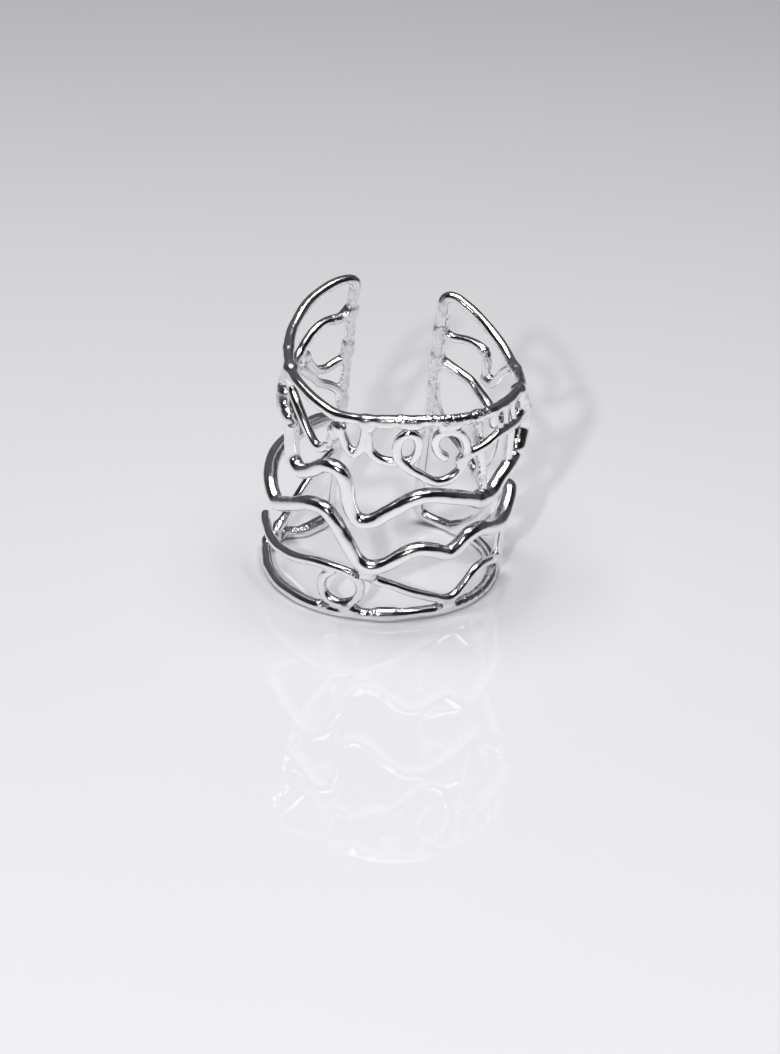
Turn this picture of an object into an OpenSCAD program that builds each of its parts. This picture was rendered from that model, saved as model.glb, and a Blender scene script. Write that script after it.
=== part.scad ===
// Open cuff ring: freehand silver wires soldered on a round wall that leans a little to the front.
// The ring stands on its lower rim at z = 0, its front faces -Y and its opening faces +Y.

/* [Wall] */
// Radius from the finger axis to the middle of a thin wire
wall_radius = 9.45; // [8.4:0.05:11]
// How far the wall leans to the front, in degrees
lean_front = 12.5; // [0:0.5:15]
// How far the wall leans to the right, in degrees
lean_right = 4; // [0:0.5:8]
/* [Wires] */
// Thickness of the upper rim wire
upper_rim_d = 0.88; // [0.7:0.02:1.1]
// Thickness of the lower rim wire that the ring stands on
lower_rim_d = 0.96; // [0.8:0.02:1.2]
// Thickness of the left end post
left_post_d = 0.8; // [0.7:0.02:1.1]
// Thickness of the right end post
right_post_d = 1; // [0.8:0.02:1.2]
// Thickness of the two heavy waves
wave_d = 1.26; // [1:0.02:1.5]
// Thickness of the scrolls and the short ties
scroll_d = 0.8; // [0.6:0.02:1]
// Thickness of the heavier wire inside the right wall
inner_arc_d = 0.98; // [0.8:0.02:1.2]
/* [Facets] */
// Number of sides round a rim, a post or a heavy wave
heavy_sides = 8; // [6:1:10]
// Number of sides round a thin wire
thin_sides = 6; // [6:1:8]
// Length of wire between two rings of facets
ring_step = 1.15; // [0.9:0.05:1.5]
// Number of sides round a solder bead
bead_sides = 8; // [7:1:10]
/* [Hidden] */

// Named columns of a wire's table: place round the wall in degrees from the front, positive to
// the right, height above the table, and how far the wire stands out of the wall
ANGLE = 0;
HEIGHT = 1;
OUT = 2;

// Places where the two end posts stand and where they meet the rims
left_post_angle = -151;
right_post_angle = 162;
foot_height = lower_rim_d / 2;

// Half of the lean carries the middle of the ring back over the origin
middle_height = 12;
lean_x = tan(lean_right);
lean_y = -tan(lean_front);

// A table row turned into a point in space
function on_wall(row) =
    let (radius = wall_radius + row[OUT], rise = row[HEIGHT] - middle_height)
    [radius * sin(row[ANGLE]) + lean_x * rise, -radius * cos(row[ANGLE]) + lean_y * rise, row[HEIGHT]];

// Direction straight out of the wall at a table row
function outward(row) = [sin(row[ANGLE]), -cos(row[ANGLE]), 0];

// One coordinate of a smooth curve that passes through b and c, with a and d as its neighbours
function between(a, b, c, d, t) =
    b + t * (c - a) / 2 + t * t * (a - 2.5 * b + 2 * c - d / 2)
    + t * t * t * (1.5 * (b - c) + (d - a) / 2);

// Number of rings that fit between two rows
function rings_between(b, c) = max(1, round(norm(on_wall(c) - on_wall(b)) / ring_step));

// The rows of a table with smooth rows added between them
function smooth_rows(rows) =
    let (last = len(rows) - 1)
    [for (i = [0 : last - 1]) let (n = rings_between(rows[i], rows[i + 1])) for (k = [0 : n - 1])
        between(rows[max(i - 1, 0)], rows[i], rows[i + 1], rows[min(i + 2, last)], k / n),
     rows[last]];

// Rows along an oval scroll: its middle, its half sizes in degrees and in height, and the turn
// from one clock direction to another, while it climbs outward
function scroll_rows(middle, half_angle, half_height, from, to, steps, climb = 0) =
    [for (i = [0 : steps]) let (turn = from + (to - from) * i / steps)
        [middle[ANGLE] + half_angle * cos(turn), middle[HEIGHT] + half_height * sin(turn),
         middle[OUT] + climb * i / steps]];

// Width of a wire at ring i of n: full along the wire and rounded at both ends
function end_scale(i, n) = let (e = min(i, n - i)) e == 0 ? 0.45 : e == 1 ? 0.85 : 1;

// A wire of diameter d whose middle follows the rows of a table
module wire(rows, d, sides = thin_sides) {
    path = smooth_rows(rows);
    last = len(path) - 1;
    middles = [for (row = path) on_wall(row)];
    rings = [for (i = [0 : last])
        let (ahead = middles[min(i + 1, last)] - middles[max(i - 1, 0)],
             along = ahead / norm(ahead),
             side = cross(along, outward(path[i])),
             across = side / norm(side),
             up = cross(across, along),
             radius = d / 2 * end_scale(i, last))
        [for (s = [0 : sides - 1]) let (turn = 360 * s / sides)
            middles[i] + radius * (cos(turn) * up + sin(turn) * across)]];
    points = [for (ring = rings) each ring];
    walls = [for (i = [0 : last - 1], s = [0 : sides - 1])
        let (t = (s + 1) % sides, near = i * sides, far = near + sides)
        each [[near + s, far + t, near + t], [near + s, far + s, far + t]]];
    start_cap = [for (s = [0 : sides - 1]) s];
    end_cap = [for (s = [sides - 1 : -1 : 0]) last * sides + s];
    polyhedron(points, [start_cap, each walls, end_cap], convexity = 6);
}

// A solder bead that runs along the wall from one row to another
module bead(from, to, d) {
    hull() {
        translate(on_wall(from)) sphere(d = d, $fn = bead_sides);
        translate(on_wall(to)) sphere(d = d, $fn = bead_sides);
    }
}

// Upper rim: from the left post over its round corner, round the front and up to the right post
upper_rim_rows = [
    [left_post_angle, 23.2, 0], [-151.5, 24.3, 0], [-148, 24.9, 0], [-140, 24.9, 0], [-129, 24.5, 0],
    [-115, 23.7, 0], [-100, 22.7, 0], [-86, 21.8, 0], [-73, 21.1, 0], [-58, 20.5, 0], [-44, 19.9, 0],
    [-32, 19.5, 0], [-18, 19.6, 0], [0, 19.9, 0], [20, 19.8, 0], [38, 19.6, 0], [56, 19.7, 0],
    [72, 19.8, 0], [86, 19.5, 0], [98, 19.2, 0], [110, 19.4, 0], [122, 20.2, 0], [136, 21.4, 0],
    [149, 22.6, 0], [157, 23.2, 0], [161.5, 23, 0], [right_post_angle, 22, 0]];

// Lower rim: the same way round, flat on the table, bent inward by the left post
lower_rim_rows = [
    [left_post_angle, 2, 0], [-151, 1.1, -0.1], [-149, 0.6, -0.3], [-142, 0.5, -0.7],
    [-134, foot_height, -0.95], [-128, foot_height, -0.8], [-124, foot_height, -0.3],
    [-120, foot_height, 0.3], [-113, foot_height, 0.5], [-103, 0.6, 0.4], [-90, 0.7, 0.1],
    [-74, 0.65, 0], [-56, 0.55, 0], [-38, foot_height, 0], [-18, foot_height, 0], [2, 0.55, 0],
    [20, 0.65, 0], [38, foot_height, 0], [58, foot_height, 0], [80, 0.6, -0.1], [102, 0.6, -0.1],
    [122, foot_height, 0], [140, foot_height, 0], [152, 0.6, 0], [159, 1, 0], [162, 1.9, 0],
    [right_post_angle, 3, 0]];

// The two end posts, from the lower rim to the upper rim
left_post_rows = [for (h = [1.2, 6, 12, 18, 23.8]) [left_post_angle, h, 0]];
right_post_rows = [for (h = [2, 7, 12, 17, 22.6]) [right_post_angle, h, 0]];

// Upper wave: up the left side, over the front and up the right side, from rim to rim
upper_wave_rows = [
    [-74, 21, 0], [-77, 19.6, 0.1], [-73, 18.2, 0.3], [-65, 17, 0.2], [-61, 15.2, 0.2],
    [-58, 13.7, 0.2], [-51, 13, 0.2], [-43, 13.6, 0.2], [-34, 14.6, 0.2], [-27, 14.4, 0.2],
    [-23, 13.2, 0.2], [-20, 11.3, 0.2], [-15.5, 10.1, 0.2], [-9, 10.1, 0.2], [-1, 11.1, 0.2],
    [8, 12.3, 0.2], [17, 12.7, 0.2], [29, 12.2, 0.2], [40, 11.5, 0.2], [48, 10.9, 0.2],
    [56, 11.4, 0.2], [64, 12.3, 0.2], [72, 12.9, 0.3], [80, 13.5, 0.5], [87, 14.6, 0.6],
    [87, 16.5, 0.55], [80, 18.2, 0.3], [75, 19.7, 0]];

// Lower wave: from the left post round the left side, over the front, up behind the right side
// and down the inside of the right wall to the lower rim
lower_wave_rows = [
    [left_post_angle, 10.8, 0], [-143, 11.2, 0], [-131, 11.2, 0], [-118, 10.8, 0.1], [-106, 10.6, 0.3],
    [-97, 10.4, 0.4], [-88, 9.9, 0.5], [-80, 9.4, 0.5], [-74, 8.8, 0.45], [-68, 8.4, 0.3],
    [-60, 8.9, 0.2], [-54, 9.4, 0.2], [-43, 10.3, 0.2], [-34, 10.4, 0.2], [-27, 9.5, 0.2], [-20, 7.8, 0.2],
    [-14, 6.2, 0.2], [-8, 5.5, 0.2], [-1, 5.7, 0.2], [8, 6.8, 0.2], [16, 7.3, 0.2],
    [24, 7, 0.2], [31, 6.5, 0.2], [37, 7, 0.2], [43, 7.8, 0.2], [51, 7.9, 0.2],
    [60, 7.3, 0.2], [70, 6.9, 0.2], [79, 7.2, 0.25], [86, 7.95, 0.4], [92, 8.6, 0.4],
    [98, 8.2, 0.25], [105, 6.9, 0.1], [112, 4.6, 0], [121, 2.8, 0], [131, 1.4, 0], [138, 0.6, 0]];

// Hook that drops from the upper rim on the left and comes up again under it
left_hook_rows = [
    [-75, 21, 0], [-69, 19.6, 0], [-61, 18.6, 0], [-54, 17.6, 0], [-48, 16.6, 0], [-42, 15.9, 0],
    [-37, 16.2, 0], [-33, 17.5, 0], [-31, 18.5, 0], [-28, 17.6, 0], [-25, 16.7, 0],
    [-21, 16.3, 0], [-18, 17, 0], [-17, 18.2, 0], [-17, 19.5, 0]];

// Scroll: down from the rim, round the small eye, under to the big eye and a turn inside it
small_eye = [4, 17.35, -0.1];
big_eye = [22, 16.35, 0.15];
scroll_wire_rows = [
    [-17, 19.5, -0.1], [-15.5, 18, -0.1], [-14, 16.8, -0.1], [-9, 16.1, -0.1], [-3, 15.85, -0.1],
    each scroll_rows(small_eye, 5.2, 1.35, -75, 240, 9, 0.35),
    [6, 15.4, 0.25], [10.5, 14.9, 0.2],
    each scroll_rows(big_eye, 12, 2.45, -125, 100, 10),
    [17.6, 18.3, 0], [17.4, 17.5, -0.1], [19.5, 16.7, -0.1], [23, 16.2, -0.1]];

// Wire from the big eye to the right side
right_scroll_rows = [
    [32.5, 15.9, 0.1], [36, 16.3, 0.3], [40, 16.6, 0.4], [45, 16.9, 0.45], [50, 17.3, 0.45],
    [56, 17.35, 0.4], [64, 17.2, 0.35], [73, 17.1, 0.3], [81, 17.4, 0.3]];
right_hook_rows = [[49, 19.5, 0], [50, 18.6, 0], [54, 17.9, 0], [60, 17.3, 0], [65, 17, 0]];

// Lower left wire: a free tip, down along the lower rim and round one open eye
lower_eye = [-20.5, 2.95, 0];
lower_left_rows = [
    [-95, 4.6, 0.6], [-90, 4.5, 0.5], [-83, 4.25, 0.3], [-75, 4.1, 0.2], [-67, 4, 0.1], [-60, 4.05, 0],
    [-49, 4.3, 0], [-38, 4.7, 0], [-28, 4.8, 0], [-20, 4.7, 0], [-14.5, 4.3, 0],
    each scroll_rows(lower_eye, 10.3, 1.65, 30, -240, 11)];

// Lower right wire: from the lower wave down to the lower rim and up to the right side
lower_right_rows = [
    [-10, 4.6, 0], [-3, 4.1, 0], [7, 3.5, 0], [17, 2.7, 0], [27, 2, 0], [35, 1.5, 0],
    [41, 1.7, 0], [46, 2.4, 0], [51, 3.2, 0], [57, 3.6, 0], [66, 3.35, 0], [75, 2.7, 0], [85, 2, 0]];

// Short upright wires
rim_tie_rows = [
    [38.5, 19.7, -0.1], [41, 18.5, -0.3], [43.5, 16.8, -0.35], [46.5, 15, -0.3], [48.5, 13.4, -0.2],
    [50, 11.4, 0]];
short_tie_rows = [[57, 19.5, 0], [59, 18.2, 0], [61, 17, 0]];
side_tie_rows = [[64, 19.5, 0], [67, 18.2, 0], [70, 17, 0], [71, 15, 0], [71, 13.2, 0.1]];
right_stay_rows = [[79, 7.2, 0.1], [83, 5.6, 0.1], [86, 4, 0.1], [87, 2.8, 0.1], [88, 1.6, 0.1]];

// Wires inside the left wall, seen through the front
left_back_rows = [
    [left_post_angle, 21.7, 0], [-145, 21.3, 0], [-136, 21.3, 0], [-128, 20.9, 0], [-121, 20.1, 0],
    [-115, 19.3, 0], [-106, 18.9, 0], [-98, 19.6, 0], [-92, 20.8, 0], [-88, 21.8, 0]];
left_swag_rows = [
    [left_post_angle, 18.3, 0], [-149, 17.2, 0], [-144, 16.8, 0], [-138, 16.5, 0],
    [-131, 16.9, 0], [-125, 18, 0], [-119, 19, 0]];
left_sweep_rows = [
    [-106, 18.8, 0], [-112, 18, 0], [-119, 17.4, 0], [-127, 16.4, 0], [-135, 15.3, 0],
    [-142, 14.7, 0], [-148, 13.8, 0], [left_post_angle, 12.6, 0]];
left_strut_rows = [
    [left_post_angle, 7.8, 0], [-144, 6.7, 0], [-136, 5.4, 0], [-128, 4, 0], [-119, 2.6, 0],
    [-111, 1.5, 0.2], [-106, foot_height, 0.4]];

// Wires inside the right wall
right_back_rows = [
    [right_post_angle, 19.8, 0], [155, 19.4, 0], [147, 19.4, 0], [139, 19.2, 0], [134, 18.6, 0],
    [132.5, 17.6, 0], [131, 16.5, 0], [126.5, 16.4, 0], [122, 17.3, 0], [117, 18.3, 0],
    [111, 19, 0], [106, 19.4, 0]];
right_swag_rows = [
    [right_post_angle, 17, 0], [156, 16.6, 0], [149, 16.1, 0], [142, 15.6, 0], [135, 14.8, 0],
    [127, 14, 0], [117, 13.6, 0], [106, 13.8, 0], [96, 14.6, 0.1], [87, 15.4, 0.3]];
right_sweep_rows = [
    [right_post_angle, 14.5, 0], [160, 13, 0], [156, 11.4, 0], [152, 10, 0], [146, 9.2, 0],
    [138, 8.2, 0], [128, 6.9, 0], [118, 5.9, 0], [109, 5.6, 0]];
right_curl_rows = [[112, 13.7, 0], [115, 12.2, 0], [116, 10.8, 0], [119, 9.4, 0], [124, 8.2, 0], [129, 7, 0]];

// Solder beads, one row for each: where it starts, where it ends and its thickness
bead_rows = [
    [[-151, 21.4, 0], [-151, 22, 0], 1.1], [[-151, 17.8, 0], [-151, 18.5, 0], 1.1],
    [[-151, 12.4, 0], [-151, 13, 0], 1.05], [[-151, 10.4, 0], [-151, 11.2, 0], 1.3],
    [[162, 19.4, 0], [162, 20, 0], 1.25], [[162, 16.6, 0], [162, 17.3, 0], 1.3],
    [[-121, 18.7, 0], [-117, 18.9, 0], 1.15], [[-108, 18.6, 0], [-104, 18.8, 0], 1],
    [[129, 16.4, 0], [132, 16.5, 0], 1.05], [[-76, 20.7, 0], [-71, 20.4, 0], 1.15],
    [[-74, 18.8, 0.2], [-72, 18, 0.3], 1.45], [[-33, 19, 0], [-30, 18.8, 0], 1.05],
    [[-18, 19.4, 0], [-15, 19.1, 0], 1.1], [[-10, 19.6, 0], [-6, 19.65, 0], 1.04],
    [[1, 19.7, 0], [7, 19.6, 0], 1.08], [[20, 19.4, 0], [27, 19.3, 0], 1.1],
    [[32, 15.5, 0], [35, 16, 0], 1], [[76, 17.4, 0.1], [82, 17.3, 0.3], 1.4],
    [[46, 11.2, 0.2], [51, 11.2, 0.2], 1.45], [[-12, 4.9, 0.1], [-6, 4.8, 0.1], 1.2],
    [[-16, 1.1, 0], [-12, 0.8, 0], 1.1], [[-31, 1.4, 0], [-28, 1, 0], 0.95],
    [[32, 1.1, 0], [37, 1, 0], 1.1], [[0, 0.62, 0], [7, 0.64, 0], 1.08],
    [[87, 1.9, 0.1], [88, 1.4, 0.1], 0.95], [[-119, 0.8, 0.3], [-105, 0.9, 0.4], 1.3],
    [[-117, 1.9, 0.1], [-105, 2.4, 0.3], 0.8], [[-144, 0.58, -0.6], [-131, 0.58, -0.9], 1.12],
    [[80, 13.9, 0.45], [85, 14.7, 0.5], 1.5], [[138, 0.6, 0], [132, 0.9, 0], 1.1],
    [[-81, 17.6, 0.2], [-73, 19, 0.2], 0.9], [[-66, 17.3, 0.3], [-60, 17.1, 0.3], 1.1],
    [[-34, 18.1, 0], [-33, 17.8, 0], 1], [[49, 18.9, 0.1], [49, 18.3, 0.1], 0.8],
    [[54, 18.7, 0.1], [54, 18.1, 0.1], 0.8], [[-148, 21.8, 0], [-146, 22, 0], 1]];

module rims_and_posts() {
    wire(upper_rim_rows, upper_rim_d, heavy_sides);
    wire(lower_rim_rows, lower_rim_d, heavy_sides);
    wire(left_post_rows, left_post_d, heavy_sides);
    wire(right_post_rows, right_post_d, heavy_sides);
}

module waves() {
    wire(upper_wave_rows, wave_d, heavy_sides);
    wire(lower_wave_rows, wave_d, heavy_sides);
}

module front_scrolls() {
    for (rows = [left_hook_rows, scroll_wire_rows, right_scroll_rows, right_hook_rows, lower_left_rows,
                 lower_right_rows])
        wire(rows, scroll_d);
}

module ties() {
    for (rows = [rim_tie_rows, short_tie_rows, side_tie_rows, right_stay_rows]) wire(rows, scroll_d);
}

module wall_wires() {
    for (rows = [left_back_rows, left_swag_rows, left_sweep_rows, left_strut_rows, right_back_rows,
                 right_sweep_rows, right_curl_rows])
        wire(rows, scroll_d);
    wire(right_swag_rows, inner_arc_d, heavy_sides);
}

module solder_beads() {
    for (row = bead_rows) bead(row[0], row[1], row[2]);
}

module cuff() {
    color("silver") union() {
        rims_and_posts();
        waves();
        front_scrolls();
        ties();
        wall_wires();
        solder_beads();
    }
}

cuff();
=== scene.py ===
# %% [markdown]
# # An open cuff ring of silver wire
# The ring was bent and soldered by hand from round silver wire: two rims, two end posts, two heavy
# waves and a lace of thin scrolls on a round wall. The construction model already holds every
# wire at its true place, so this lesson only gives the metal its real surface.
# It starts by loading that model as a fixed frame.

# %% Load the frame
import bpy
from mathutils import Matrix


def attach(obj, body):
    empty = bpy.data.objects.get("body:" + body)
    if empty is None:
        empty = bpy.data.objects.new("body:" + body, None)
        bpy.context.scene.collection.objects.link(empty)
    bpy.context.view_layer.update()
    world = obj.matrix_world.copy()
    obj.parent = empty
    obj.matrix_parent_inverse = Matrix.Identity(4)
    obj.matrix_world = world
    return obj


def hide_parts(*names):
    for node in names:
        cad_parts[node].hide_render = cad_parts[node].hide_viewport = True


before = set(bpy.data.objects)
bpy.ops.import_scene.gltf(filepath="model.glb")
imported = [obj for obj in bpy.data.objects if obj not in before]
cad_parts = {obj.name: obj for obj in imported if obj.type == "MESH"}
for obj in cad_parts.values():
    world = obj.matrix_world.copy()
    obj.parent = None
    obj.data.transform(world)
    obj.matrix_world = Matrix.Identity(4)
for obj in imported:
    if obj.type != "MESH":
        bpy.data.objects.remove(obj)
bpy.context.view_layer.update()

import math

import bpy
import numpy as np
from mathutils import Matrix, Vector

MM = 0.001

# %% [markdown]
# ## Camera
# The picture was taken with a long lens from 26 degrees above the table, a hand's length from the
# ring, with the camera held slightly askew. One distance, one height angle and one roll say all
# that, so the camera is worked out from them and not placed by eye.

# %% Put the camera at the picture's angle
PICTURE_HEIGHT = 1054
LENS_IN_PIXELS = 3332
SENSOR_HEIGHT = 24
CAMERA_HEIGHT_ANGLE = math.radians(26.3)
CAMERA_ROLL = math.radians(2.2)
CAMERA_DISTANCE = 287 * MM
AIM = Vector((-0.11, 10.37, 0)) * MM

forward = Vector((0, math.cos(CAMERA_HEIGHT_ANGLE), -math.sin(CAMERA_HEIGHT_ANGLE)))
level = Vector((1, 0, 0))
upright = level.cross(forward)
right = math.cos(CAMERA_ROLL) * level + math.sin(CAMERA_ROLL) * upright
up = math.cos(CAMERA_ROLL) * upright - math.sin(CAMERA_ROLL) * level

lens = bpy.data.cameras.new("camera")
lens.sensor_fit = "VERTICAL"
lens.sensor_height = SENSOR_HEIGHT
lens.lens = LENS_IN_PIXELS * SENSOR_HEIGHT / PICTURE_HEIGHT
lens.clip_start = 10 * MM
lens.clip_end = 20
camera = bpy.data.objects.new("camera", lens)
bpy.context.scene.collection.objects.link(camera)
axes = Matrix((right, up, -forward)).transposed().to_4x4()
camera.matrix_world = Matrix.Translation(AIM - CAMERA_DISTANCE * forward) @ axes
bpy.context.scene.camera = camera
print("Lens", round(lens.lens, 1), "mm, camera at", [round(c, 4) for c in camera.location])

# %% [markdown]
# ## The wall
# A cuff is bent round a mandrel, so all its wires lie on one round wall, and this one leans a
# little to the front and to the right as it rises. A place on it needs only three numbers: the
# angle round the finger, the height above the table and how far it stands out of the wall. Every
# wire below is a short table of such rows, in degrees and millimetres.

# %% Turn places on the wall into points
ANGLE, HEIGHT, OUT = 0, 1, 2
WALL_RADIUS = 9.45
MIDDLE_HEIGHT = 12
LEAN_X = math.tan(math.radians(4))
LEAN_Y = -math.tan(math.radians(12.5))
LEFT_POST = -151
RIGHT_POST = 162


def on_wall(rows):
    """Rows to points: a circle of the wall's radius plus the row's way out, shifted sideways in
    proportion to the height above the ring's middle."""
    angle = np.radians(rows[:, ANGLE])
    radius = WALL_RADIUS + rows[:, OUT]
    rise = rows[:, HEIGHT] - MIDDLE_HEIGHT
    return np.stack([radius * np.sin(angle) + LEAN_X * rise,
                     -radius * np.cos(angle) + LEAN_Y * rise, rows[:, HEIGHT]], axis=1)


def scroll(middle, half_angle, half_height, turn_from, turn_to, steps, climb=0):
    """Rows round an oval eye: its middle plus the cosine and sine of a turning angle times its
    half sizes, climbing evenly out of the wall."""
    turn = np.radians(np.linspace(turn_from, turn_to, steps + 1))
    rows = np.stack([half_angle * np.cos(turn), half_height * np.sin(turn),
                     np.linspace(0, climb, steps + 1)], axis=1)
    return (rows + middle).tolist()


print("Over its height the wall leans", round(2 * LEAN_X * MIDDLE_HEIGHT, 2), "mm right and",
      round(-2 * LEAN_Y * MIDDLE_HEIGHT, 2), "mm forward")

# %% [markdown]
# ## Rims and posts
# Two nearly level rims close the wall above and below, and two upright posts end it on both sides
# of the opening. The upper rim dips at the front and rises to the posts. The lower rim lies on
# the table and bends inward by the left post, where the maker squeezed it.

# %% Lay out the rims and posts
FOOT = 0.48
wires = {}
wires["upper_rim"] = (0.88, [
    [LEFT_POST, 23.2, 0], [-151.5, 24.3, 0], [-148, 24.9, 0], [-140, 24.9, 0], [-129, 24.5, 0],
    [-115, 23.7, 0], [-100, 22.7, 0], [-86, 21.8, 0], [-73, 21.1, 0], [-58, 20.5, 0],
    [-44, 19.9, 0], [-32, 19.5, 0], [-18, 19.6, 0], [0, 19.9, 0], [20, 19.8, 0], [38, 19.6, 0],
    [56, 19.7, 0], [72, 19.8, 0], [86, 19.5, 0], [98, 19.2, 0], [110, 19.4, 0], [122, 20.2, 0],
    [136, 21.4, 0], [149, 22.6, 0], [157, 23.2, 0], [161.5, 23, 0], [RIGHT_POST, 22, 0]])
wires["lower_rim"] = (0.96, [
    [LEFT_POST, 2, 0], [-151, 1.1, -0.1], [-149, 0.6, -0.3], [-142, 0.5, -0.7],
    [-134, FOOT, -0.95], [-128, FOOT, -0.8], [-124, FOOT, -0.3], [-120, FOOT, 0.3],
    [-113, FOOT, 0.5], [-103, 0.6, 0.4], [-90, 0.7, 0.1], [-74, 0.65, 0], [-56, 0.55, 0],
    [-38, FOOT, 0], [-18, FOOT, 0], [2, 0.55, 0], [20, 0.65, 0], [38, FOOT, 0], [58, FOOT, 0],
    [80, 0.6, -0.1], [102, 0.6, -0.1], [122, FOOT, 0], [140, FOOT, 0], [152, 0.6, 0], [159, 1, 0],
    [162, 1.9, 0], [RIGHT_POST, 3, 0]])
wires["left_post"] = (0.8, [
    [LEFT_POST, 1.2, 0], [LEFT_POST, 6, 0], [LEFT_POST, 12, 0], [LEFT_POST, 18, 0],
    [LEFT_POST, 23.8, 0]])
wires["right_post"] = (1.0, [
    [RIGHT_POST, 2, 0], [RIGHT_POST, 7, 0], [RIGHT_POST, 12, 0], [RIGHT_POST, 17, 0],
    [RIGHT_POST, 22.6, 0]])
print("Rims and posts:", len(wires), "wires")

# %% [markdown]
# ## The two heavy waves
# The thickest wire draws the ring's main lines. The upper wave hangs from the left of the upper
# rim, swings over the front and climbs the right side again. The lower wave starts at the left
# post, crosses the front below the first, and comes down inside the right wall.

# %% Lay out the waves
WAVE_D = 1.26
wires["upper_wave"] = (WAVE_D, [
    [-74, 21, 0], [-77, 19.6, 0.1], [-73, 18.2, 0.3], [-65, 17, 0.2], [-61, 15.2, 0.2],
    [-58, 13.7, 0.2], [-51, 13, 0.2], [-43, 13.6, 0.2], [-34, 14.6, 0.2], [-27, 14.4, 0.2],
    [-23, 13.2, 0.2], [-20, 11.3, 0.2], [-15.5, 10.1, 0.2], [-9, 10.1, 0.2], [-1, 11.1, 0.2],
    [8, 12.3, 0.2], [17, 12.7, 0.2], [29, 12.2, 0.2], [40, 11.5, 0.2], [48, 10.9, 0.2],
    [56, 11.4, 0.2], [64, 12.3, 0.2], [72, 12.9, 0.3], [80, 13.5, 0.5], [87, 14.6, 0.6],
    [87, 16.5, 0.55], [80, 18.2, 0.3], [75, 19.7, 0]])
wires["lower_wave"] = (WAVE_D, [
    [LEFT_POST, 10.8, 0], [-143, 11.2, 0], [-131, 11.2, 0], [-118, 10.8, 0.1],
    [-106, 10.6, 0.3], [-97, 10.4, 0.4], [-88, 9.9, 0.5], [-80, 9.4, 0.5], [-74, 8.8, 0.45],
    [-68, 8.4, 0.3], [-60, 8.9, 0.2], [-54, 9.4, 0.2], [-43, 10.3, 0.2], [-34, 10.4, 0.2],
    [-27, 9.5, 0.2], [-20, 7.8, 0.2], [-14, 6.2, 0.2], [-8, 5.5, 0.2], [-1, 5.7, 0.2],
    [8, 6.8, 0.2], [16, 7.3, 0.2], [24, 7, 0.2], [31, 6.5, 0.2], [37, 7, 0.2], [43, 7.8, 0.2],
    [51, 7.9, 0.2], [60, 7.3, 0.2], [70, 6.9, 0.2], [79, 7.2, 0.25], [86, 7.95, 0.4],
    [92, 8.6, 0.4], [98, 8.2, 0.25], [105, 6.9, 0.1], [112, 4.6, 0], [121, 2.8, 0],
    [131, 1.4, 0], [138, 0.6, 0]])
print("Waves:", len(wires) - 4, "wires of", WAVE_D, "mm")

# %% [markdown]
# ## Scrolls on the front
# Thin wire fills the space under the upper rim: hooks on the left, a small eye and a big eye, and
# a wire that leads to the right side. Two more thin wires run low, one with an open eye by the
# lower rim. An eye is an oval turned with pliers, so it is written as an oval, not as points.

# %% Lay out the scrolls
THIN_D = 0.8
wires["left_hook"] = (THIN_D, [
    [-75, 21, 0], [-69, 19.6, 0], [-61, 18.6, 0], [-54, 17.6, 0], [-48, 16.6, 0],
    [-42, 15.9, 0], [-37, 16.2, 0], [-33, 17.5, 0], [-31, 18.5, 0], [-28, 17.6, 0],
    [-25, 16.7, 0], [-21, 16.3, 0], [-18, 17, 0], [-17, 18.2, 0], [-17, 19.5, 0]])
wires["scroll_wire"] = (THIN_D, [
    [-17, 19.5, -0.1], [-15.5, 18, -0.1], [-14, 16.8, -0.1], [-9, 16.1, -0.1],
    [-3, 15.85, -0.1], *scroll([4, 17.35, -0.1], 5.2, 1.35, -75, 240, 9, 0.35),
    [6, 15.4, 0.25], [10.5, 14.9, 0.2], *scroll([22, 16.35, 0.15], 12, 2.45, -125, 100, 10),
    [17.6, 18.3, 0], [17.4, 17.5, -0.1], [19.5, 16.7, -0.1], [23, 16.2, -0.1]])
wires["right_scroll"] = (THIN_D, [
    [32.5, 15.9, 0.1], [36, 16.3, 0.3], [40, 16.6, 0.4], [45, 16.9, 0.45], [50, 17.3, 0.45],
    [56, 17.35, 0.4], [64, 17.2, 0.35], [73, 17.1, 0.3], [81, 17.4, 0.3]])
wires["right_hook"] = (THIN_D, [
    [49, 19.5, 0], [50, 18.6, 0], [54, 17.9, 0], [60, 17.3, 0], [65, 17, 0]])
wires["lower_left"] = (THIN_D, [
    [-95, 4.6, 0.6], [-90, 4.5, 0.5], [-83, 4.25, 0.3], [-75, 4.1, 0.2], [-67, 4, 0.1],
    [-60, 4.05, 0], [-49, 4.3, 0], [-38, 4.7, 0], [-28, 4.8, 0], [-20, 4.7, 0], [-14.5, 4.3, 0],
    *scroll([-20.5, 2.95, 0], 10.3, 1.65, 30, -240, 11)])
wires["lower_right"] = (THIN_D, [
    [-10, 4.6, 0], [-3, 4.1, 0], [7, 3.5, 0], [17, 2.7, 0], [27, 2, 0], [35, 1.5, 0],
    [41, 1.7, 0], [46, 2.4, 0], [51, 3.2, 0], [57, 3.6, 0], [66, 3.35, 0], [75, 2.7, 0],
    [85, 2, 0]])
wires["rim_tie"] = (THIN_D, [
    [38.5, 19.7, -0.1], [41, 18.5, -0.3], [43.5, 16.8, -0.35], [46.5, 15, -0.3],
    [48.5, 13.4, -0.2], [50, 11.4, 0]])
wires["short_tie"] = (THIN_D, [[57, 19.5, 0], [59, 18.2, 0], [61, 17, 0]])
wires["side_tie"] = (THIN_D, [
    [64, 19.5, 0], [67, 18.2, 0], [70, 17, 0], [71, 15, 0], [71, 13.2, 0.1]])
wires["right_stay"] = (THIN_D, [
    [79, 7.2, 0.1], [83, 5.6, 0.1], [86, 4, 0.1], [87, 2.8, 0.1], [88, 1.6, 0.1]])
print("With the scrolls and ties:", len(wires), "wires")

# %% [markdown]
# ## Wires beside the opening
# The two flanks that curve behind the finger are filled more simply: a few arcs reach from the
# posts to the rims and to the waves. They show through the front of the ring, so they matter
# from both sides.

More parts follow.
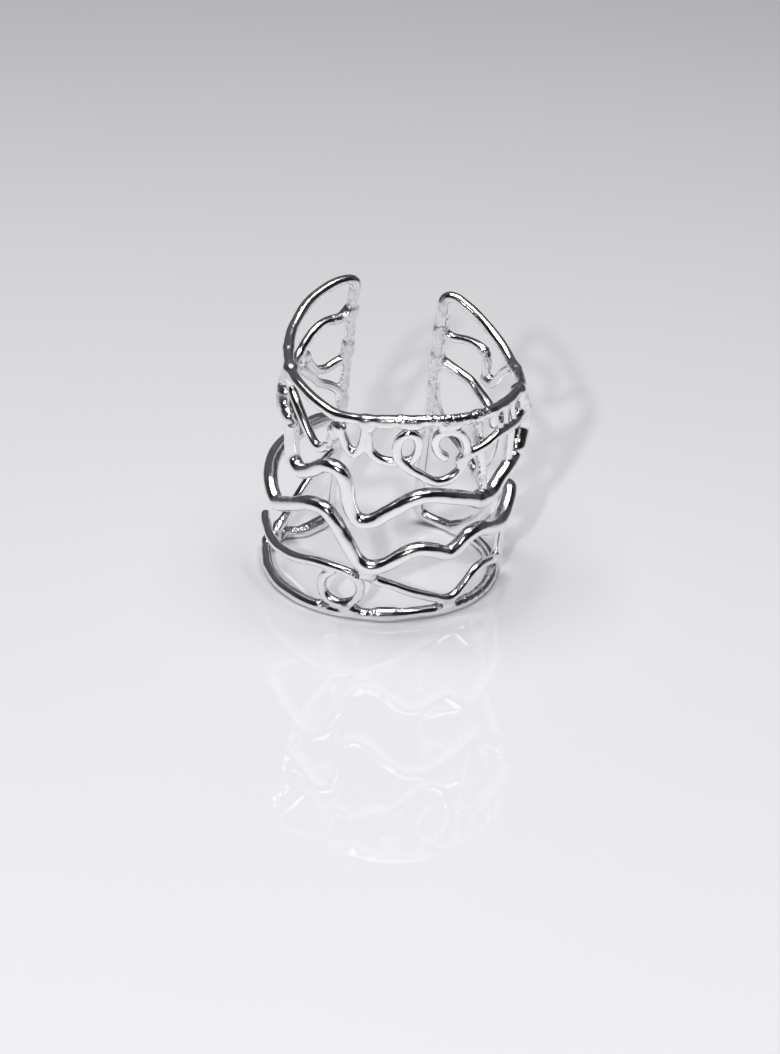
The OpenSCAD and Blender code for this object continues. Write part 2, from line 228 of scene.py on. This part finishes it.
# %% Lay out the wires of the two flanks
INNER_ARC_D = 0.98
wires["left_back"] = (THIN_D, [
    [LEFT_POST, 21.7, 0], [-145, 21.3, 0], [-136, 21.3, 0], [-128, 20.9, 0], [-121, 20.1, 0],
    [-115, 19.3, 0], [-106, 18.9, 0], [-98, 19.6, 0], [-92, 20.8, 0], [-88, 21.8, 0]])
wires["left_swag"] = (THIN_D, [
    [LEFT_POST, 18.3, 0], [-149, 17.2, 0], [-144, 16.8, 0], [-138, 16.5, 0], [-131, 16.9, 0],
    [-125, 18, 0], [-119, 19, 0]])
wires["left_sweep"] = (THIN_D, [
    [-106, 18.8, 0], [-112, 18, 0], [-119, 17.4, 0], [-127, 16.4, 0], [-135, 15.3, 0],
    [-142, 14.7, 0], [-148, 13.8, 0], [LEFT_POST, 12.6, 0]])
wires["left_strut"] = (THIN_D, [
    [LEFT_POST, 7.8, 0], [-144, 6.7, 0], [-136, 5.4, 0], [-128, 4, 0], [-119, 2.6, 0],
    [-111, 1.5, 0.2], [-106, FOOT, 0.4]])
wires["right_back"] = (THIN_D, [
    [RIGHT_POST, 19.8, 0], [155, 19.4, 0], [147, 19.4, 0], [139, 19.2, 0], [134, 18.6, 0],
    [132.5, 17.6, 0], [131, 16.5, 0], [126.5, 16.4, 0], [122, 17.3, 0], [117, 18.3, 0],
    [111, 19, 0], [106, 19.4, 0]])
wires["right_swag"] = (INNER_ARC_D, [
    [RIGHT_POST, 17, 0], [156, 16.6, 0], [149, 16.1, 0], [142, 15.6, 0], [135, 14.8, 0],
    [127, 14, 0], [117, 13.6, 0], [106, 13.8, 0], [96, 14.6, 0.1], [87, 15.4, 0.3]])
wires["right_sweep"] = (THIN_D, [
    [RIGHT_POST, 14.5, 0], [160, 13, 0], [156, 11.4, 0], [152, 10, 0], [146, 9.2, 0],
    [138, 8.2, 0], [128, 6.9, 0], [118, 5.9, 0], [109, 5.6, 0]])
wires["right_curl"] = (THIN_D, [
    [112, 13.7, 0], [115, 12.2, 0], [116, 10.8, 0], [119, 9.4, 0], [124, 8.2, 0], [129, 7, 0]])
print("The whole cuff:", len(wires), "wires")

# %% [markdown]
# ## From rows to hand-bent wire
# A smooth curve through the rows gives each wire's middle line. Wire that was bent by hand is
# never quite even, so the line wanders by a few hundredths of a millimetre and the thickness
# changes a little along it. Both are sums of slow waves with fixed phases, which repeat exactly
# on every run.

# %% Draw the middle lines
SPAN_SAMPLES = 16
PATH_STEP = 0.13
WANDER = 0.03
UNEVEN = 0.022
WAVE_LENGTHS = np.array([9.1, 5.3, 3.1])


def smooth_line(rows):
    """A curve through the rows: between two rows, a cubic whose slope at each end is half the
    step from the row before to the row after."""
    rows = np.asarray(rows, float)
    first, last = rows[:-1, None], rows[1:, None]
    before = np.vstack([rows[:1], rows[:-2]])[:, None]
    after = np.vstack([rows[2:], rows[-1:]])[:, None]
    t = (np.arange(SPAN_SAMPLES) / SPAN_SAMPLES)[None, :, None]
    curve = first + t * (last - before) / 2
    curve = curve + t ** 2 * (before - 2.5 * first + 2 * last - after / 2)
    curve = curve + t ** 3 * (1.5 * (first - last) + (after - before) / 2)
    return np.vstack([curve.reshape(-1, 3), rows[-1:]])


def even_steps(values, length, count):
    """Values read again at equal steps of the length along the wire."""
    places = np.linspace(0, length[-1], count)
    return np.stack([np.interp(places, length, column) for column in values.T], axis=1)


def slow_waves(places, seed):
    """The mean of three sine waves of different length, each with its own seeded phase."""
    phase = np.random.default_rng(seed).uniform(0, 2 * np.pi, len(WAVE_LENGTHS))
    return np.sin(2 * np.pi * places[:, None] / WAVE_LENGTHS + phase).mean(axis=1)


def bent_wire(diameter, rows, seed):
    """Middle line, radius and way out of the wall at even steps along one wire. Wander and
    unevenness fade out at the ends, so that the wire still meets its neighbours."""
    rows = smooth_line(rows)
    length = np.r_[0, np.cumsum(np.linalg.norm(np.diff(on_wall(rows), axis=0), axis=1))]
    count = max(8, round(length[-1] / PATH_STEP))
    rows = even_steps(rows, length, count)
    places = np.linspace(0, length[-1], count)
    free = np.clip(np.minimum(places, places[-1] - places) / 2, 0, 1)
    angle = np.radians(rows[:, ANGLE])
    outward = np.stack([np.sin(angle), -np.cos(angle), 0 * angle], axis=1)
    middle = on_wall(rows) + outward * (WANDER * free * slow_waves(places, seed))[:, None]
    middle[:, 2] += WANDER * free * slow_waves(places, seed + 1) * (rows[:, HEIGHT] > 1.5)
    radius = diameter / 2 * (1 + UNEVEN * slow_waves(places, seed + 2))
    return middle, radius, outward


lines = {name: bent_wire(d, rows, 10 * i) for i, (name, (d, rows)) in enumerate(wires.items())}
total = sum(PATH_STEP * len(middle) for middle, _, _ in lines.values())
print("Silver wire used:", round(total), "mm")

# %% [markdown]
# ## Solder
# Where wires cross, the torch left solder: the joint is thicker than the wires and flows into
# them. In places it stayed as lumps and small grains. Placing every joint by hand would be slow
# and would miss some, so the swelling is worked out from how near the other wires pass. The lumps
# are short rounded bars, listed by where they start and end, and the grains are scattered with a
# fixed seed along the stretches that show them.

# %% Swell the joints and add lumps and grains
SWELL = 0.03
SWELL_REACH = 0.5
GRAIN_SINK = 0.45
SMALLEST_GRAIN = 0.5

# Lumps: angle, height and way out where each starts, the same where it ends, and its diameter
lump_rows = np.array([
    [-151, 21.4, 0, -151, 22, 0, 1.1], [-151, 17.8, 0, -151, 18.5, 0, 1.1],
    [-151, 12.4, 0, -151, 13, 0, 1.05], [-151, 10.4, 0, -151, 11.2, 0, 1.3],
    [162, 19.4, 0, 162, 20, 0, 1.25], [162, 16.6, 0, 162, 17.3, 0, 1.3],
    [-121, 18.7, 0, -117, 18.9, 0, 1.15], [-108, 18.6, 0, -104, 18.8, 0, 1],
    [129, 16.4, 0, 132, 16.5, 0, 1.05], [-76, 20.7, 0, -71, 20.4, 0, 1.15],
    [-74, 18.8, 0.2, -72, 18, 0.3, 1.45], [-33, 19, 0, -30, 18.8, 0, 1.05],
    [-18, 19.4, 0, -15, 19.1, 0, 1.1], [-10, 19.6, 0, -6, 19.65, 0, 1.04],
    [1, 19.7, 0, 7, 19.6, 0, 1.08], [20, 19.4, 0, 27, 19.3, 0, 1.1],
    [32, 15.5, 0, 35, 16, 0, 1], [76, 17.4, 0.1, 82, 17.3, 0.3, 1.4],
    [46, 11.2, 0.2, 51, 11.2, 0.2, 1.45], [-12, 4.9, 0.1, -6, 4.8, 0.1, 1.2],
    [-16, 1.1, 0, -12, 0.8, 0, 1.1], [-31, 1.4, 0, -28, 1, 0, 0.95],
    [32, 1.1, 0, 37, 1, 0, 1.1], [0, 0.62, 0, 7, 0.64, 0, 1.08],
    [87, 1.9, 0.1, 88, 1.4, 0.1, 0.95], [-119, 0.8, 0.3, -105, 0.9, 0.4, 1.3],
    [-117, 1.9, 0.1, -105, 2.4, 0.3, 0.8], [-144, 0.58, -0.6, -131, 0.58, -0.9, 1.12],
    [80, 13.9, 0.45, 85, 14.7, 0.5, 1.5], [138, 0.6, 0, 132, 0.9, 0, 1.1],
    [-81, 17.6, 0.2, -73, 19, 0.2, 0.9], [-66, 17.3, 0.3, -60, 17.1, 0.3, 1.1],
    [-34, 18.1, 0, -33, 17.8, 0, 1], [49, 18.9, 0.1, 49, 18.3, 0.1, 0.8],
    [54, 18.7, 0.1, 54, 18.1, 0.1, 0.8], [-148, 21.8, 0, -146, 22, 0, 1]])
lump_from = on_wall(lump_rows[:, :3])
lump_to = on_wall(lump_rows[:, 3:6])
lump_radius = lump_rows[:, 6] / 2

# Stretches with grains: wire, first and last share of its length, number of grains and the
# radius of the largest
grain_stretches = [
    ("left_post", 0.5, 0.98, 80, 0.17), ("right_post", 0.35, 0.98, 90, 0.17),
    ("lower_rim", 0.03, 0.16, 90, 0.2), ("upper_rim", 0.47, 0.62, 60, 0.13),
    ("lower_rim", 0.44, 0.52, 24, 0.13), ("left_back", 0.0, 0.18, 30, 0.18),
    ("left_swag", 0.0, 0.1, 12, 0.17), ("lower_rim", 0.62, 0.74, 30, 0.13),
    ("rim_tie", 0.1, 1.0, 50, 0.16), ("left_hook", 0.5, 0.62, 16, 0.17),
    ("upper_wave", 0.02, 0.1, 40, 0.18), ("upper_wave", 0.9, 0.99, 50, 0.17),
    ("left_strut", 0.85, 1.0, 24, 0.17), ("right_back", 0.3, 0.5, 20, 0.13),
    ("short_tie", 0.0, 1.0, 14, 0.14)]


def swell_joints(lines):
    """Adds to each radius a bump that falls off with the square of the gap to the nearest
    other wire, as a bell curve."""
    middles = np.vstack([middle for middle, _, _ in lines.values()])
    owner = np.repeat(np.arange(len(lines)), [len(middle) for middle, _, _ in lines.values()])
    swollen = {}
    for i, (name, (middle, radius, outward)) in enumerate(lines.items()):
        others = middles[owner != i]
        gap = np.sqrt(((middle[:, None] - others[None]) ** 2).sum(axis=2).min(axis=1))
        swollen[name] = (middle, radius + SWELL * np.exp(-(gap / SWELL_REACH) ** 2), outward)
    return swollen


def scatter_grains(lines, seed=5):
    """Small balls half sunk in the skin of their wire: a random place along the stretch, a random
    way round the wire and a random size. Returns their middles and radii."""
    rng = np.random.default_rng(seed)
    balls = []
    for name, first, last, count, largest in grain_stretches:
        middle, radius, _ = lines[name]
        place = (rng.uniform(first, last, count) * (len(middle) - 1)).astype(int)
        way = rng.normal(size=(count, 3))
        way = way / np.linalg.norm(way, axis=1, keepdims=True)
        size = rng.uniform(SMALLEST_GRAIN, 1, count) * largest
        sunk = radius[place] - GRAIN_SINK * size
        balls.append(np.column_stack([middle[place] + way * sunk[:, None], size]))
    return np.vstack(balls)


lines = swell_joints(lines)
grains = scatter_grains(lines)
print("Solder:", len(lump_rows), "lumps and", len(grains), "grains")

# %% [markdown]
# ## One skin over all the wires
# Soldered silver is one piece of metal. Tubes that only run through each other would leave hard
# creases at every joint, which a mirror finish shows at once. So the skin is defined by a
# distance: for each wire, how far a point is from it, and then a soft minimum of all of them,
# which rounds the creases off. The tubes are fused into one mesh of small squares first, and then
# each of its corners slides onto the place where that distance is zero.

# %% Carry a circle along each wire
TUBE_SIDES = 12
END_REACH = 0.75
END_WIDTH = 0.5


def tube(middle, radius, outward):
    """A round tube: at each step a circle square to the wire, whose axes are the wire's direction
    crossed with the way out of the wall, and that crossed with the direction again. A smaller
    circle beyond each end starts the rounded tip."""
    tips = [middle[0] + END_REACH * radius[0] * (middle[0] - middle[3]) / (3 * PATH_STEP),
            middle[-1] + END_REACH * radius[-1] * (middle[-1] - middle[-4]) / (3 * PATH_STEP)]
    middle = np.vstack([tips[:1], middle, tips[1:]])
    radius = np.r_[END_WIDTH * radius[0], radius, END_WIDTH * radius[-1]]
    outward = np.vstack([outward[:1], outward, outward[-1:]])
    along = np.gradient(middle, axis=0)
    along = along / np.linalg.norm(along, axis=1, keepdims=True)
    across = np.cross(along, outward)
    across = across / np.linalg.norm(across, axis=1, keepdims=True)
    rise = np.cross(across, along)
    turn = np.linspace(0, 2 * np.pi, TUBE_SIDES, endpoint=False)
    circle = (np.cos(turn)[None, :, None] * rise[:, None]
              + np.sin(turn)[None, :, None] * across[:, None])
    points = middle[:, None] + radius[:, None, None] * circle
    ring, side = np.meshgrid(np.arange(len(middle) - 1), np.arange(TUBE_SIDES), indexing="ij")
    near, far = ring * TUBE_SIDES, (ring + 1) * TUBE_SIDES
    after = (side + 1) % TUBE_SIDES
    quads = np.stack([near + side, far + side, far + after, near + after], axis=-1).reshape(-1, 4)
    last = (len(middle) - 1) * TUBE_SIDES
    caps = [list(range(TUBE_SIDES)), list(range(last + TUBE_SIDES - 1, last - 1, -1))]
    return points.reshape(-1, 3), quads.tolist() + caps


tubes = [tube(*line) for line in lines.values()]
print("Tubes:", len(tubes), "with", sum(len(points) for points, _ in tubes), "corners")

# %% Fuse the tubes into one mesh
SKIN_SQUARE = 0.142


def fused(tubes):
    """All the tubes as one mesh, made over into small squares. Its coordinates stay in
    millimetres, and only its corners and faces are kept."""
    corners, faces, count = [], [], 0
    for points, quads in tubes:
        corners.append(points)
        faces += [[count + corner for corner in face] for face in quads]
        count += len(points)
    rough = bpy.data.meshes.new("rough_wires")
    rough.from_pydata(np.vstack(corners).tolist(), [], faces)
    holder = bpy.data.objects.new("rough_wires", rough)
    bpy.context.scene.collection.objects.link(holder)
    remesh = holder.modifiers.new("fuse", "REMESH")
    remesh.mode = "VOXEL"
    remesh.voxel_size = SKIN_SQUARE
    remesh.use_smooth_shade = True
    finished = holder.evaluated_get(bpy.context.evaluated_depsgraph_get())
    skin = bpy.data.meshes.new_from_object(finished)
    bpy.data.objects.remove(holder)
    bpy.data.meshes.remove(rough)
    return skin


skin = fused(tubes)
print("Fused skin:", len(skin.vertices), "corners,", len(skin.polygons), "squares")

# %% Measure the distance to the metal
FAR_AWAY = 2.0


def near_bars(points, start, end, start_radius, end_radius, gap, away):
    """Lowers gap, the distance from each point to the skin of a row of round bars: the distance
    to the nearest place on a bar's middle line, less the radius there. away is its direction."""
    low = np.minimum(start, end).min(axis=0) - FAR_AWAY / 2
    high = np.maximum(start, end).max(axis=0) + FAR_AWAY / 2
    close = np.flatnonzero(((points > low) & (points < high)).all(axis=1))
    if len(close) == 0:
        return
    span = end - start
    offset = points[close, None] - start[None]
    share = (offset * span).sum(axis=2) / np.maximum((span ** 2).sum(axis=1), 1e-9)
    share = np.clip(share, 0, 1)
    offset = offset - share[..., None] * span
    reach = np.sqrt((offset ** 2).sum(axis=2))
    distance = reach - start_radius - share * (end_radius - start_radius)
    best = distance.argmin(axis=1)
    rows = np.arange(len(close))
    lower = distance[rows, best] < gap[close]
    rows, best, close = rows[lower], best[lower], close[lower]
    gap[close] = distance[rows, best]
    away[close] = offset[rows, best] / np.maximum(reach[rows, best], 1e-6)[:, None]


def metal_parts():
    """Each wire, each lump and the grains as rows of bars: starts, ends and the two radii."""
    for middle, radius, _ in lines.values():
        yield middle[:-1], middle[1:], radius[:-1], radius[1:]
    for i in range(len(lump_rows)):
        one = slice(i, i + 1)
        yield lump_from[one], lump_to[one], lump_radius[one], lump_radius[one]
    yield grains[:, :3], grains[:, :3], grains[:, 3], grains[:, 3]


print("Parts of the metal:", sum(1 for _ in metal_parts()))

# %% Soften the distance where parts meet
SOFTNESS = 0.085
BLOCK = 24
RIPPLE = 0.0022
RIPPLE_LENGTHS = (3.1, 2.0, 1.3, 0.8)


def ripple(points, seed=3):
    """The maker's unevenness: sine waves across the metal in seeded directions."""
    rng = np.random.default_rng(seed)
    height = np.zeros(len(points))
    for length in RIPPLE_LENGTHS:
        ways = rng.normal(size=(3, 3))
        ways = ways / np.linalg.norm(ways, axis=1, keepdims=True)
        height += RIPPLE * length * np.sin(points @ ways.T * 2 * np.pi / length
                                           + rng.uniform(0, 6, 3)).sum(axis=1)
    return height


def metal_distance(points):
    """Soft minimum of the distances to all parts of the metal: minus the softness times the log
    of the sum of exp(-distance / softness). Also its slope and how many parts share a point."""
    total = np.zeros(len(points))
    largest = np.zeros(len(points))
    slope = np.zeros_like(points)
    for start, end, start_radius, end_radius in metal_parts():
        gap = np.full(len(points), FAR_AWAY)
        away = np.zeros_like(points)
        for i in range(0, len(start), BLOCK):
            block = slice(i, i + BLOCK)
            near_bars(points, start[block], end[block], start_radius[block], end_radius[block],
                      gap, away)
        weight = np.exp(-gap / SOFTNESS)
        total += weight
        largest = np.maximum(largest, weight)
        slope += weight[:, None] * away
    slope = slope / total[:, None]
    return -SOFTNESS * np.log(total) + ripple(points), slope, 1 - largest / total


wall_point = on_wall(np.array([[0, MIDDLE_HEIGHT, 0]]))
print("Distance to the metal at the front of the wall, below zero inside it:",
      round(float(metal_distance(wall_point)[0][0]), 2), "mm")

# %% Slide the skin onto the metal
RELAX_ROUNDS = 3
RELAX_SHARE = 0.6
LONGEST_STEP = 0.15
LEAST_SLOPE = 0.25


def neighbour_mean(points, edges):
    """The mean of each corner's neighbours along the mesh's edges."""
    ends = np.r_[edges[:, 0], edges[:, 1]]
    others = np.r_[edges[:, 1], edges[:, 0]]
    count = np.bincount(ends, minlength=len(points))
    sums = [np.bincount(ends, points[others, axis], len(points)) for axis in range(3)]
    return np.stack(sums, axis=1) / count[:, None]


def onto_metal(points):
    """One step down the slope of the distance, by the distance over the slope's square, and
    never longer than the longest step."""
    distance, slope, _ = metal_distance(points)
    steep = np.maximum((slope ** 2).sum(axis=1), LEAST_SLOPE)
    step = np.clip(distance / steep, -LONGEST_STEP, LONGEST_STEP)
    return points - step[:, None] * slope


corners = np.empty(3 * len(skin.vertices), np.float32)
skin.vertices.foreach_get("co", corners)
corners = corners.reshape(-1, 3).astype(float)
edges = np.empty(2 * len(skin.edges), np.int32)
skin.edges.foreach_get("vertices", edges)
edges = edges.reshape(-1, 2)
for _ in range(RELAX_ROUNDS):
    corners = corners + RELAX_SHARE * (neighbour_mean(corners, edges) - corners)
    corners = onto_metal(onto_metal(corners))
corners[:, 2] = np.maximum(corners[:, 2], 0)
distance, _, sharing = metal_distance(corners)
print("Furthest corner from the metal's skin:", round(float(np.abs(distance).max()), 3), "mm")

# %% [markdown]
# ## The finished piece
# The skin becomes one object in metres, which stands for the whole construction part. Each
# corner also keeps two numbers for the material: how much of a joint it is, so that the solder
# can look a little duller than the wire, and how near it is to a grain, so that only those
# stretches look pebbly. Both belong to the surface, so they are stored on the mesh.

# %% Find the grainy stretches
GRAIN_REACH = 0.42

nearest = np.full(len(corners), np.inf)
for ball in grains:
    nearest = np.minimum(nearest, ((corners - ball[:3]) ** 2).sum(axis=1))
graininess = np.exp(-nearest / GRAIN_REACH ** 2)
print("Grainy share of the skin:", round(float(graininess.mean()), 2))

# %% Make the piece
silver_mesh = skin
silver_mesh.vertices.foreach_set("co", (corners * MM).astype(np.float32).ravel())
solder = silver_mesh.attributes.new("solder", "FLOAT", "POINT")
solder.data.foreach_set("value", np.clip(2 * sharing, 0, 1).astype(np.float32))
grainy = silver_mesh.attributes.new("grainy", "FLOAT", "POINT")
grainy.data.foreach_set("value", graininess.astype(np.float32))
silver_mesh.polygons.foreach_set("use_smooth", np.ones(len(silver_mesh.polygons), bool))
silver_mesh.update()
cuff = bpy.data.objects.new("cuff_silver", silver_mesh)
bpy.context.scene.collection.objects.link(cuff)
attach(cuff, "root")
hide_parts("cuff")
print("Piece:", sum(len(p.vertices) - 2 for p in silver_mesh.polygons), "triangles")

# %% [markdown]
# ## Polished silver
# Silver is the whitest of metals, and nearly all that shows on it is its surroundings. What makes
# it look real is that the polish isn't even: tiny marks from the cloth, solder that stays a little
# greyer and duller, and small pebbles where solder was laid along a wire. A plain grey metal would
# look cast. Noise on Object coordinates gives the marks and the clouds in the solder, and round
# cells, only where the skin is grainy, give the pebbles, so that the pattern stays on the metal.

# %% Choose the finish
SILVER_COLOUR = (0.93, 0.922, 0.935, 1)
SOLDER_COLOUR = (0.76, 0.75, 0.765, 1)
SMOOTHEST = 0.06
ROUGHEST = 0.19
SOLDER_DULLNESS = 0.12
MARK_DEPTH = 0.04 * MM
MARK_STRENGTH = 0.4
PEBBLE_DEPTH = 0.11 * MM
PEBBLES_PER_METRE = 5600


def node(tree, kind, place, **settings):
    """Adds a node and sets its properties and inputs by name."""
    made = tree.nodes.new(kind)
    made.location = place
    for name, value in settings.items():
        if name in made.inputs:
            made.inputs[name].default_value = value
        else:
            setattr(made, name, value)
    return made


print("Roughness:", SMOOTHEST, "to", ROUGHEST, "and up to", SOLDER_DULLNESS, "more on solder")

# %% Mix the silver


def silver_material():
    """Mirror-like metal, rougher and greyer on the solder, with fine noise in its gloss and
    rounded cells pressed up where it is grainy."""
    material = bpy.data.materials.new("polished_silver")
    material.use_nodes = True
    tree = material.node_tree
    link = tree.links.new
    shader = tree.nodes["Principled BSDF"]
    shader.inputs["Metallic"].default_value = 1
    place = node(tree, "ShaderNodeTexCoord", (-1200, 0))
    joint = node(tree, "ShaderNodeAttribute", (-1200, -300), attribute_name="solder")
    clouds = node(tree, "ShaderNodeTexNoise", (-950, 200), Scale=420, Detail=4, Roughness=0.6)
    fine = node(tree, "ShaderNodeTexNoise", (-950, -50), Scale=2600, Detail=5, Roughness=0.65)
    for texture in (clouds, fine):
        link(place.outputs["Object"], texture.inputs["Vector"])
    colour = node(tree, "ShaderNodeMix", (-400, 300), data_type="RGBA")
    shade = node(tree, "ShaderNodeMath", (-650, 250), operation="MULTIPLY")
    link(joint.outputs["Fac"], shade.inputs[0])
    link(clouds.outputs["Fac"], shade.inputs[1])
    mix_a, mix_b = [s for s in colour.inputs if s.type == "RGBA"]
    mix_a.default_value = SILVER_COLOUR
    mix_b.default_value = SOLDER_COLOUR
    link(shade.outputs[0], colour.inputs["Factor"])
    link([s for s in colour.outputs if s.type == "RGBA"][0], shader.inputs["Base Color"])
    dull = node(tree, "ShaderNodeMapRange", (-650, 0))
    link(fine.outputs["Fac"], dull.inputs["Value"])
    dull.inputs["To Min"].default_value = SMOOTHEST
    dull.inputs["To Max"].default_value = ROUGHEST
    duller = node(tree, "ShaderNodeMath", (-400, 0), operation="MULTIPLY_ADD")
    duller.inputs[1].default_value = SOLDER_DULLNESS
    link(joint.outputs["Fac"], duller.inputs[0])
    link(dull.outputs["Result"], duller.inputs[2])
    link(duller.outputs[0], shader.inputs["Roughness"])
    marks = node(tree, "ShaderNodeBump", (-400, -250), Strength=MARK_STRENGTH, Distance=MARK_DEPTH)
    link(fine.outputs["Fac"], marks.inputs["Height"])
    grainy_here = node(tree, "ShaderNodeAttribute", (-950, -500), attribute_name="grainy")
    pebbles = node(tree, "ShaderNodeTexVoronoi", (-950, -700), feature="SMOOTH_F1",
                   Scale=PEBBLES_PER_METRE)
    link(place.outputs["Object"], pebbles.inputs["Vector"])
    pebbly = node(tree, "ShaderNodeBump", (-200, -400), invert=True, Distance=PEBBLE_DEPTH)
    link(grainy_here.outputs["Fac"], pebbly.inputs["Strength"])
    link(pebbles.outputs["Distance"], pebbly.inputs["Height"])
    link(marks.outputs["Normal"], pebbly.inputs["Normal"])
    link(pebbly.outputs["Normal"], shader.inputs["Normal"])
    return material


silver_mesh.materials.append(silver_material())
print("Material:", silver_mesh.materials[0].name)

# %% [markdown]
# ## The table
# The ring stands on a pale glossy table that mirrors it faintly. A mirror under the whole scene
# would be too strong, so the table is a dull, even colour below a clear, smooth coat, and the coat
# alone does the mirroring. Its refractive index sets how faint the mirror image is.

# %% Make the table
FLOOR_SIZE = 3.0
FLOOR_COLOUR = (0.865, 0.855, 0.88)
CLOUDINESS = 0.01


def table_material():
    """Smooth pale laminate: even colour with a faint cloudiness, and a clear gloss over it."""
    material = bpy.data.materials.new("pale_table")
    material.use_nodes = True
    tree = material.node_tree
    shader = tree.nodes["Principled BSDF"]
    shader.inputs["Roughness"].default_value = 0.6
    shader.inputs["Specular IOR Level"].default_value = 0.0
    shader.inputs["Coat Weight"].default_value = 1.0
    shader.inputs["Coat Roughness"].default_value = 0.03
    shader.inputs["Coat IOR"].default_value = 1.36
    place = node(tree, "ShaderNodeTexCoord", (-900, 0))
    clouds = node(tree, "ShaderNodeTexNoise", (-700, 0), Scale=40, Detail=3)
    tree.links.new(place.outputs["Object"], clouds.inputs["Vector"])
    tint = node(tree, "ShaderNodeMapRange", (-500, 0))
    tint.inputs["To Min"].default_value = 1 - CLOUDINESS
    tint.inputs["To Max"].default_value = 1 + CLOUDINESS
    tree.links.new(clouds.outputs["Fac"], tint.inputs["Value"])
    colour = node(tree, "ShaderNodeVectorMath", (-300, 0), operation="SCALE")
    colour.inputs[0].default_value = FLOOR_COLOUR
    tree.links.new(tint.outputs["Result"], colour.inputs["Scale"])
    tree.links.new(colour.outputs["Vector"], shader.inputs["Base Color"])
    return material


floor_mesh = bpy.data.meshes.new("table_top")
half = FLOOR_SIZE / 2
floor_mesh.from_pydata([(-half, -half, 0), (half, -half, 0), (half, half, 0), (-half, half, 0)],
                       [], [(0, 1, 2, 3)])
floor_mesh.materials.append(table_material())
floor = bpy.data.objects.new("table_top", floor_mesh)
bpy.context.scene.collection.objects.link(floor)
print("Table:", FLOOR_SIZE, "m square")

# %% [markdown]
# ## The light
# Polished metal shows the lights more than itself, so each lamp is placed for the line that it
# draws. A softbox overhead lights the table and draws the white lines along the tops of the
# wires. One small lamp behind the camera, on its left, throws the soft shadow behind the ring.
# The room is dark in front, which draws the black lines, greyer behind, and uneven, as a room with
# things in it is.

# %% Light the table and the ring
OVERHEAD_BRIGHTNESS = 4.55
SMALL_LAMP_BRIGHTNESS = 1050


def softbox(name, place, aim, size, brightness):
    """A rectangular lamp that faces its aim. Its power is its brightness times pi times its area,
    so that the same brightness looks the same at any size."""
    lamp = bpy.data.lights.new(name, "AREA")
    lamp.shape = "RECTANGLE"
    lamp.size, lamp.size_y = size
    lamp.energy = brightness * math.pi * size[0] * size[1]
    holder = bpy.data.objects.new(name, lamp)
    way = Vector(aim) - Vector(place)
    holder.location = place
    holder.rotation_euler = way.to_track_quat("-Z", "Y").to_euler()
    holder.visible_camera = False
    bpy.context.scene.collection.objects.link(holder)
    return holder


softbox("overhead", (-0.01, -0.06, 0.38), (-0.01, -0.06, 0), (0.36, 0.27), OVERHEAD_BRIGHTNESS)
softbox("small_lamp", (-0.1, -0.532, 0.282), (0, 0, 0.01), (0.02, 0.02), SMALL_LAMP_BRIGHTNESS)

# %% Give the room its greys
ROOM_TINT = (1.0, 0.96, 1.04)
FRONT_GREY = 0.012
BACK_GREY = 0.13
LEAST_SHARE = 0.3

world = bpy.data.worlds.new("room")
world.use_nodes = True
bpy.context.scene.world = world
room = world.node_tree
backdrop = room.nodes["Background"]
sky = node(room, "ShaderNodeTexCoord", (-900, 0))
split = node(room, "ShaderNodeSeparateXYZ", (-700, 0))
room.links.new(sky.outputs["Generated"], split.inputs[0])
fade = node(room, "ShaderNodeMapRange", (-500, 0), interpolation_type="SMOOTHSTEP")
fade.inputs["From Min"].default_value = -0.5
fade.inputs["From Max"].default_value = 0.7
fade.inputs["To Min"].default_value = FRONT_GREY
fade.inputs["To Max"].default_value = BACK_GREY
room.links.new(split.outputs["Y"], fade.inputs["Value"])
things = node(room, "ShaderNodeTexNoise", (-700, -250), Scale=2.2, Detail=3, Roughness=0.6)
room.links.new(sky.outputs["Generated"], things.inputs["Vector"])
spread = node(room, "ShaderNodeMapRange", (-500, -250))
spread.inputs["From Min"].default_value = 0.35
spread.inputs["From Max"].default_value = 0.65
spread.inputs["To Min"].default_value = LEAST_SHARE
spread.inputs["To Max"].default_value = 1.0
room.links.new(things.outputs["Fac"], spread.inputs["Value"])
uneven = node(room, "ShaderNodeMath", (-300, -100), operation="MULTIPLY")
room.links.new(fade.outputs["Result"], uneven.inputs[0])
room.links.new(spread.outputs["Result"], uneven.inputs[1])
tinted = node(room, "ShaderNodeVectorMath", (-150, -100), operation="SCALE")
tinted.inputs[0].default_value = ROOM_TINT
room.links.new(uneven.outputs[0], tinted.inputs["Scale"])
room.links.new(tinted.outputs["Vector"], backdrop.inputs["Color"])
bpy.context.scene.view_settings.view_transform = "Standard"
print("The room goes from grey", FRONT_GREY, "in front to", BACK_GREY, "behind")
